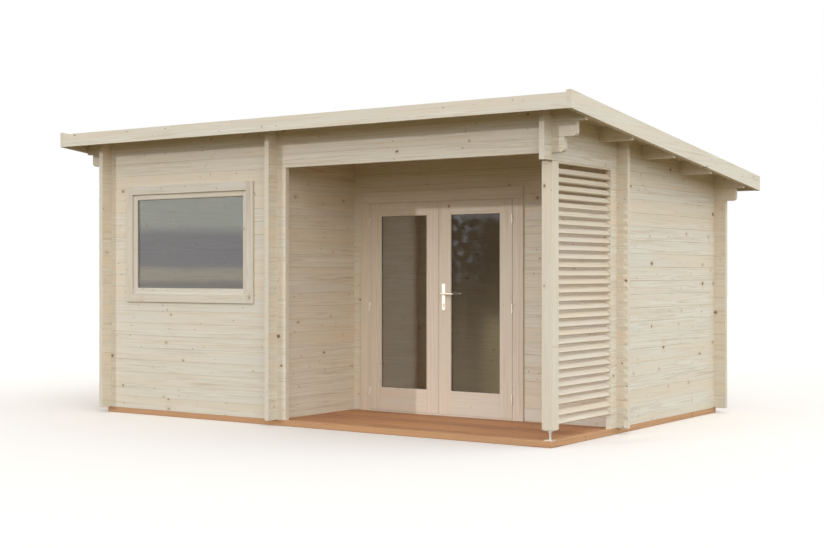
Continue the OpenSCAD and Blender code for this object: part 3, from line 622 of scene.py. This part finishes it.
felt_shape = bmesh.new()
for n in range(felt_n):
    y_rear = felt_high.y - n * felt_reach
    last = n == felt_n - 1
    ys = [felt_low.y] if last else [y_rear - felt_reach - felt_lap, y_rear - felt_reach]
    ys += [y_rear - felt_bend, y_rear]
    grid = []
    for c in range(felt_columns + 1):
        x = felt_low.x + (felt_high.x - felt_low.x) * c / felt_columns
        straight = n == 0 or c in (0, felt_columns)
        sag = 0.0 if straight else felt_wave * math.sin(2.3 * x + n)
        tops = []
        for k, y in enumerate(ys):
            at_edge = k == len(ys) - 1
            over_lap = felt_raise if at_edge and n > 0 else 0.0
            tucked = felt_tuck if k == 0 and not last else 0.0
            edge_y = y + (sag if at_edge else 0.0)
            tops.append(felt_shape.verts.new((x, edge_y, felt_top(edge_y) + over_lap - tucked)))
        lows = [felt_shape.verts.new((v.co.x, v.co.y, v.co.z - sheet_t)) for v in tops]
        grid.append((tops, lows))
    for (ta, la), (tb, lb) in zip(grid, grid[1:]):
        for k in range(len(ys) - 1):
            felt_shape.faces.new((ta[k], tb[k], tb[k + 1], ta[k + 1]))
            felt_shape.faces.new((la[k + 1], lb[k + 1], lb[k], la[k]))
        felt_shape.faces.new((la[0], lb[0], tb[0], ta[0]))
        felt_shape.faces.new((ta[-1], tb[-1], lb[-1], la[-1]))
    for tops, lows in (grid[0], grid[-1]):
        for k in range(len(ys) - 1):
            felt_shape.faces.new((tops[k], tops[k + 1], lows[k + 1], lows[k]))
bmesh.ops.recalc_face_normals(felt_shape, faces=felt_shape.faces)
felt_piece = finished("felt_sheets", felt_shape, felt, "root")
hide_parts("roof_felt")


# Fascia and verge boards
# Planed spruce boards that close the roof's four edges: thin ones along the eaves and thick ones up the
# slope, proud of the felt. They are screwed into the ends of the boards and purlins.
edge_spruce = timber("edge_spruce", pale=shade(0.778, 0.725, 0.630), deep=shade(0.585, 0.478, 0.345),
                     warm=shade(0.752, 0.640, 0.498), cool=shade(0.708, 0.655, 0.588), knot=spruce_knot,
                     knot_share=0.5, pin_share=0.30, grain=0.6)
for node, finish in (("front_fascia", edge_spruce), ("rear_fascia", edge_spruce),
                     ("left_verge", spruce), ("right_verge", spruce)):
    planed(node, finish, edge=0.001)
fascia_low, fascia_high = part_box("front_fascia")
rear_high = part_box("rear_fascia")[1]
big_screw_r, screw_proud = 0.0035, 0.0002
fascia_n, fascia_in, fascia_drops = 12, 0.10, (0.030, 0.086)
fascia_step = (fascia_high.x - fascia_low.x - 2 * fascia_in) / (fascia_n - 1)
ahead, behind = (0.0, -1.0, 0.0), (0.0, 1.0, 0.0)
fascia_spots = []
for n in range(fascia_n):
    x = fascia_low.x + fascia_in + n * fascia_step
    for drop in fascia_drops:
        fascia_spots.append(((x, fascia_low.y - screw_proud, fascia_high.z - drop), ahead))
        fascia_spots.append(((x, rear_high.y + screw_proud, rear_high.z - drop), behind))
fixed_by("fascia_screws", fascia_spots, big_screw_r, zinc, "root")


# Corner post and its foot
# A square planed spruce post under the free corner of the roof. It stands on an adjustable zinc foot, two
# plates with a threaded rod and a nut, which lets it follow the walls as they settle.
planed("corner_post", spruce, edge=0.004)
frame["nodes"]["post_foot"].data.materials[0] = zinc


# Louvre side
# Thirty thin spruce slats, sloped to shed rain and overlapping in view, that screen the side of the terrace.
# Their ends are let into the post and the wall corner.
# The slats take a darker, warmer copy of the boards' spruce: painted shade on the louvre.
shaded_slat_spruce = timber("spruce_slats", pale=shade(0.725, 0.640, 0.517), deep=shade(0.548, 0.422, 0.285),
                     warm=shade(0.706, 0.566, 0.410), cool=shade(0.664, 0.580, 0.485), knot=spruce_knot,
                     knot_share=0.0, pin_share=0.05)
planed("louvre_slats", shaded_slat_spruce, edge=0.0015)


# Window
# A fixed light: a smooth spruce sash with a double pane, held by pine beads on a dark rubber gasket, and four
# flat spruce casing boards screwed over the joint with the logs.
joinery = timber("pine_joinery", pale=shade(0.775, 0.670, 0.550), deep=shade(0.63, 0.505, 0.385),
                 warm=shade(0.765, 0.625, 0.490), cool=shade(0.72, 0.635, 0.530), knot=shade(0.34, 0.18, 0.10),
                 knot_share=0.26, knot_size=0.009, pin_share=0.10, grain=0.6, dry=0.5, relief=0.15)
casing_spruce = timber("casing_spruce", pale=shade(0.728, 0.664, 0.565), deep=shade(0.55, 0.437, 0.312),
                       warm=shade(0.70, 0.590, 0.450), cool=shade(0.668, 0.603, 0.527), knot=spruce_knot,
                       knot_share=0.40, pin_share=0.14)
planed("window_casing", casing_spruce, edge=0.003)
planed("window_sash", casing_spruce, edge=0.003)

pane, pane_tree = new_finish("clear_pane")
gx, gy, gz = pane_tree.parts(pane_tree.node("ShaderNodeTexCoord", out="Object"))
smear = pane_tree.noise(gx * 3.0, gy * 3.0, gz * 5.0, 3.0)
pane_tree.surface({"Base Color": shade(0.95, 0.93, 0.89), "Roughness": 0.012 * smear, "IOR": 1.9,
                   "Transmission Weight": 1.0, "Coat Weight": 1.0, "Coat IOR": 2.1, "Coat Roughness": 0.01})

rubber, rubber_tree = new_finish("rubber_gasket")
rubber_place = rubber_tree.node("ShaderNodeTexCoord", out="Object")
bloom = rubber_tree.node("ShaderNodeTexNoise", None, {"Vector": rubber_place, "Scale": 90.0, "Detail": 3.0})
rubber_tone = rubber_tree.mix(bloom, shade(0.012, 0.012, 0.013), shade(0.035, 0.035, 0.037))
rubber_tree.surface({"Base Color": rubber_tone, "Roughness": 0.5 + 0.2 * bloom})


def skinned(shape, first, second):
    """Closes a strip between two like sections, sides and ends."""
    count = len(first)
    for k in range(count):
        j = (k + 1) % count
        shape.faces.new((first[k], second[k], second[j], first[j]))
    shape.faces.new(first)
    shape.faces.new(list(reversed(second)))
    bmesh.ops.recalc_face_normals(shape, faces=shape.faces)


def mitred(name, finish, low, high, section, body):
    """Four mitred strips round an opening in the XZ plane. section lists (inward, y) points of a strip."""
    shape = bmesh.new()
    lay = shape.verts.layers.float_vector.new("lay")
    board_seed = shape.verts.layers.float.new("board_seed")
    shape.loops.layers.float.new("end_grain")
    draw = random.Random(name)
    corners = [(low[0], low[1]), (high[0], low[1]), (high[0], high[1]), (low[0], high[1])]
    inward = [(1, 1), (-1, 1), (-1, -1), (1, -1)]
    for n in range(4):
        m = (n + 1) % 4
        seed = draw.random()
        rings = []
        for (cx, cz), (ix, iz) in ((corners[n], inward[n]), (corners[m], inward[m])):
            ring = []
            for inset, y in section:
                vert = shape.verts.new((cx + ix * inset, y, cz + iz * inset))
                vert[board_seed] = seed
                vert[lay] = (vert.co.x if n % 2 == 0 else vert.co.z, inset, y - section[0][1])
                ring.append(vert)
            rings.append(ring)
        skinned(shape, *rings)
    return finished(name, shape, finish, body)


def glazed(node, frame_front, frame_rear, body):
    """Dresses a CAD pane: the clear finish, a gasket and a bead on each face."""
    frame["nodes"][node].data.materials[0] = pane
    low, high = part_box(node)
    bead, gasket, gasket_in, hair, nose, ease = 0.004, 0.0025, 0.001, 0.0003, 0.005, 0.0015
    plan = ((low.x, low.z), (high.x, high.z))
    for side, face, skin in (("outer", low.y, frame_front), ("inner", high.y, frame_rear)):
        way = -1.0 if side == "outer" else 1.0
        seat = face + way * hair
        foot, top = seat + way * gasket, seat + way * (gasket - hair)
        lip = skin - way * ease
        strip = [(0.0, foot), (bead, foot), (bead, seat + way * nose), (ease, lip), (0.0, lip)]
        mitred(node + "_bead_" + side, joinery, *plan, strip, body)
        rubber_strip = [(gasket_in, seat), (bead + 2 * gasket_in, seat), (bead + gasket_in, top),
                        (gasket_in, top)]
        mitred(node + "_gasket_" + side, rubber, *plan, rubber_strip, body)


sash_low, sash_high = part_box("window_sash")
glazed("window_glass", sash_low.y, sash_high.y, "root")
casing_low, casing_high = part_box("window_casing")
small_screw_r, casing_n, casing_in, casing_up, casing_along = 0.003, 4, 0.04, 0.327, 0.3667
casing_y = casing_low.y - screw_proud
casing_spots = []
for x in (casing_low.x + casing_in, casing_high.x - casing_in):
    for n in range(casing_n):
        casing_spots.append(((x, casing_y, casing_low.z + casing_in + n * casing_up), ahead))
for z in (casing_low.z + casing_in, casing_high.z - casing_in):
    for n in range(1, casing_n):
        casing_spots.append(((casing_low.x + casing_in + n * casing_along, casing_y, z), ahead))
fixed_by("window_casing_screws", casing_spots, small_screw_r, zinc, "root")


# Door frame and casing
# A pine frame let into the doorway with stops, a low threshold and a pale draught seal pressed in all round,
# and three flat casing boards screwed over the joint with the logs, the top one laid over the two uprights.
planed("door_frame", joinery, edge=0.002)
planed("door_casing", joinery, edge=0.003)
seal, seal_tree = new_finish("pale_seal")
seal_place = seal_tree.node("ShaderNodeTexCoord", out="Object")
cells = seal_tree.node("ShaderNodeTexNoise", None, {"Vector": seal_place, "Scale": 700.0, "Detail": 3.0})
seal_tone = seal_tree.mix(cells, shade(0.60, 0.50, 0.40), shade(0.72, 0.62, 0.51))
seal_tree.surface({"Base Color": seal_tone, "Roughness": 0.7 + 0.2 * cells,
                   "Normal": seal_tree.bump(cells, 0.3, 0.0004)})
left_low, left_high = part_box("left_leaf")
right_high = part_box("right_leaf")[1]
leaf_gap, seal_in, seal_deep, hair = 0.006, 0.003, 0.012, 0.0002


def bulb(neck, nose, front, rear):
    """A soft seal's section as (out, y) points: a flat foot and a blunt nose, eased at the front and rear."""
    start, end = left_low.y + seal_in, left_low.y + seal_in + seal_deep
    return [(hair, start), (neck, start), (nose, start + front), (nose, end - rear), (neck, end), (hair, end)]


mitred("door_seal", seal, (left_low.x - leaf_gap, left_low.z - leaf_gap),
       (right_high.x + leaf_gap, right_high.z + leaf_gap), bulb(0.0038, 0.0048, 0.0015, 0.002), "root")
door_low, door_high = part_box("door_casing")
door_n, door_in, door_first, door_up, door_along = 5, 0.05, 0.12, 0.40, 0.32
door_y = door_low.y - screw_proud
door_spots = []
for x in (door_low.x + door_in, door_high.x - door_in):
    for n in range(door_n):
        door_spots.append(((x, door_y, door_low.z + door_first + n * door_up), ahead))
for n in range(1, door_n):
    door_spots.append(((door_low.x + door_in + n * door_along, door_y, door_high.z - door_in), ahead))
fixed_by("door_casing_screws", door_spots, small_screw_r, zinc, "root")


# Door leaves
# Two pine leaves of broad stiles and rails, dowelled and glued, each round one tall double pane that is held
# by mitred beads on a dark gasket. A pale seal on the left leaf closes the gap where they meet.
for side in ("left", "right"):
    planed(side + "_leaf", joinery, edge=0.0022)
    leaf_low, leaf_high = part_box(side + "_leaf")
    glazed(side + "_glass", leaf_low.y, leaf_high.y, side + "_door")
meeting, seal_end = bulb(0.0055, 0.0070, 0.0025, 0.0025), 0.002
meeting_shape = bmesh.new()
skinned(meeting_shape, *[[meeting_shape.verts.new((left_high.x + out, y, z)) for out, y in meeting]
                         for z in (left_low.z + seal_end, left_high.z - seal_end)])
finished("meeting_seal", meeting_shape, seal, "left_door")


# Hinges
# Zinc-plated loose-pin hinges, three to a leaf. One half is screwed to the casing and the other to the leaf,
# and their knuckles share a pin.
hinge_zinc = metal("hinge_zinc", shade(0.93, 0.89, 0.82), shade(0.80, 0.77, 0.71), 0.48)
for node in ("frame_hinges", "left_hinges", "right_hinges"):
    frame["nodes"][node].data.materials[0] = hinge_zinc


# Handle
# Satin steel plates screwed to both faces of the right leaf, with a lever on a spindle that passes through
# them and a dull brass lock cylinder below it.
satin = metal("satin_steel", shade(0.94, 0.92, 0.87), shade(0.84, 0.82, 0.77), 0.34)
brass = metal("dull_brass", shade(0.72, 0.65, 0.50), shade(0.55, 0.49, 0.37), 0.36)
frame["nodes"]["handle_plates"].data.materials[0] = satin
frame["nodes"]["handle_lever"].data.materials[0] = satin
frame["nodes"]["key_cylinder"].data.materials[0] = brass
plate_low, plate_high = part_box("handle_plates")
plate_x = (plate_low.x + plate_high.x) / 2
plate_in = 0.012
plate_spots = []
for z in (plate_low.z + plate_in, plate_high.z - plate_in):
    plate_spots.append(((plate_x, plate_low.y - screw_proud, z), ahead))
    plate_spots.append(((plate_x, plate_high.y + screw_proud, z), behind))
fixed_by("handle_plate_screws", plate_spots, big_screw_r, zinc, "right_door")


# Studio
# A plain pale floor, a soft white sky that is a little brighter at the right, dark ground below it, and one
# weak low sun from the front left. The panes mirror level bands of tone and a dark mottled screen at one side.
# The camera stands where the photograph was taken.
ground, ground_tree = new_finish("pale_floor")
ground_tree.surface({"Base Color": shade(0.95, 0.86, 0.79), "Roughness": 0.9})
half, floor_z = 60.0, -0.002
floor_corners = [(-half, -half, floor_z), (half, -half, floor_z), (half, half, floor_z), (-half, half, floor_z)]
floor_mesh = bpy.data.meshes.new("studio_floor")
floor_mesh.from_pydata(floor_corners, [], [(0, 1, 2, 3)])
floor_mesh.materials.append(ground)
studio_floor = bpy.data.objects.new("studio_floor", floor_mesh)
studio_floor.visible_diffuse = False
studio_floor.visible_glossy = False
studio_floor.visible_transmission = False
bpy.context.scene.collection.objects.link(studio_floor)

sky = bpy.data.worlds.new("soft_sky")
sky.use_nodes = True
sky_tree = Tree(sky.node_tree)
sx, sy, sz = sky_tree.parts(sky_tree.node("ShaderNodeTexCoord", out="Generated"))
seen_by_eye, seen_in_gloss = sky_tree.node("ShaderNodeLightPath", out=("Is Camera Ray", "Is Glossy Ray"))
right_hand = sky_tree.node("ShaderNodeMath", {"operation": "MAXIMUM"}, {0: sx, 1: 0.0})
in_front = sky_tree.node("ShaderNodeMath", {"operation": "MAXIMUM"}, {0: 0.0 - sy, 1: 0.0})
bright = 0.96 + 0.62 * sx - 0.10 * in_front
glow = 2.6 * right_hand * in_front
cold = sky_tree.rise(0.7 * sx - sy, -0.6, 0.5)
sky_tone = sky_tree.node("ShaderNodeCombineColor", None,
                         {0: bright + glow, 1: bright * (1.04 + 0.13 * cold) + glow * 0.83,
                          2: bright * (1.06 + 0.26 * cold) + glow * 0.62})
above = sky_tree.rise(sz, -0.02, 0.05)
ground_tone = sky_tree.mix(right_hand, shade(0.160, 0.136, 0.071), shade(0.29, 0.227, 0.116))
light = sky_tree.mix(above, ground_tone, sky_tone)

drift = sky_tree.noise(sx * 6.0, sy * 6.0, sz * 60.0, 3.0) - 0.5
height = sz + drift * 0.012
low_sky = sky_tree.mix(sky_tree.rise(height, 0.026, 0.036), shade(0.51, 0.505, 0.53),
                       shade(0.77, 0.795, 0.72))
low_sky = sky_tree.mix(sky_tree.rise(height, 0.000, 0.006), shade(0.77, 0.71, 0.61), low_sky)
mirror = sky_tree.mix(sky_tree.rise(height, -0.010, -0.004), shade(0.535, 0.52, 0.48), low_sky)
turn = sx / (0.0 - in_front - 0.001)
mottle = sky_tree.noise(turn * 130.0, sz * 170.0, 2.0, 3.0, 0.6)
screen_edge = sky_tree.rise(turn + (mottle - 0.5) * 0.05, 0.78, 0.70) * sky_tree.rise(in_front, 0.2, 0.4)
streaks = sky_tree.noise(turn * 70.0, sz * 6.0, 5.0, 2.0)
gaps = sky_tree.rise(mottle, 0.47, 0.66) * sky_tree.rise(sz, -0.03, 0.02) * sky_tree.rise(turn, 0.610, 0.635)
screen_top = sky_tree.rise(sz + (mottle - 0.5) * 0.012, 0.036, 0.043)
screen_foot = sky_tree.rise(turn + (streaks - 0.5) * 0.03, 0.622, 0.606) * sky_tree.rise(sz, -0.024, -0.044)
screen = sky_tree.mix(sky_tree.rise(sz + (streaks - 0.5) * 0.06, -0.080, 0.012), shade(0.32, 0.255, 0.165),
                      shade(0.107, 0.078, 0.047))
screen = sky_tree.mix(screen_foot, screen, shade(0.43, 0.340, 0.205))
screen = sky_tree.mix(gaps * 0.42, screen, shade(0.50, 0.54, 0.62))
screen = sky_tree.mix(screen_top * 0.35, screen, shade(0.50, 0.54, 0.62))
mirror = sky_tree.mix(screen_edge, mirror, screen)
mirror = sky_tree.mix(sky_tree.rise(sz, 0.08, 0.30), mirror, shade(2.3, 2.2, 2.0))
seen = sky_tree.mix(seen_in_gloss, light, mirror)
seen = sky_tree.mix(seen_by_eye, seen, shade(1.0, 1.0, 1.0))
background = sky_tree.node("ShaderNodeBackground", None, {"Color": seen, "Strength": 1.0})
sky_tree.node("ShaderNodeOutputWorld", None, {"Surface": background})
bpy.context.scene.world = sky

sun_data = bpy.data.lights.new("low_sun", "SUN")
sun_data.energy = 0.80
sun_data.angle = math.radians(1.5)
sun_data.color = (0.93, 0.92, 0.95)
low_sun = bpy.data.objects.new("low_sun", sun_data)
low_sun.rotation_euler = Vector((0.566, 1.0, -0.305)).to_track_quat("-Z", "Y").to_euler()
bpy.context.scene.collection.objects.link(low_sun)

lens = bpy.data.cameras.new("photo_camera")
lens.lens = 59.47
lens.sensor_width = 36.0
lens.shift_y = -0.0021
lens.clip_end = 200.0
photo_camera = bpy.data.objects.new("photo_camera", lens)
photo_camera.location = (7.230, -10.423, 1.300)
photo_camera.rotation_euler = (math.radians(90.0), 0.0, math.radians(34.68))
bpy.context.scene.collection.objects.link(photo_camera)
bpy.context.scene.camera = photo_camera
bpy.context.scene.view_settings.view_transform = "Standard"
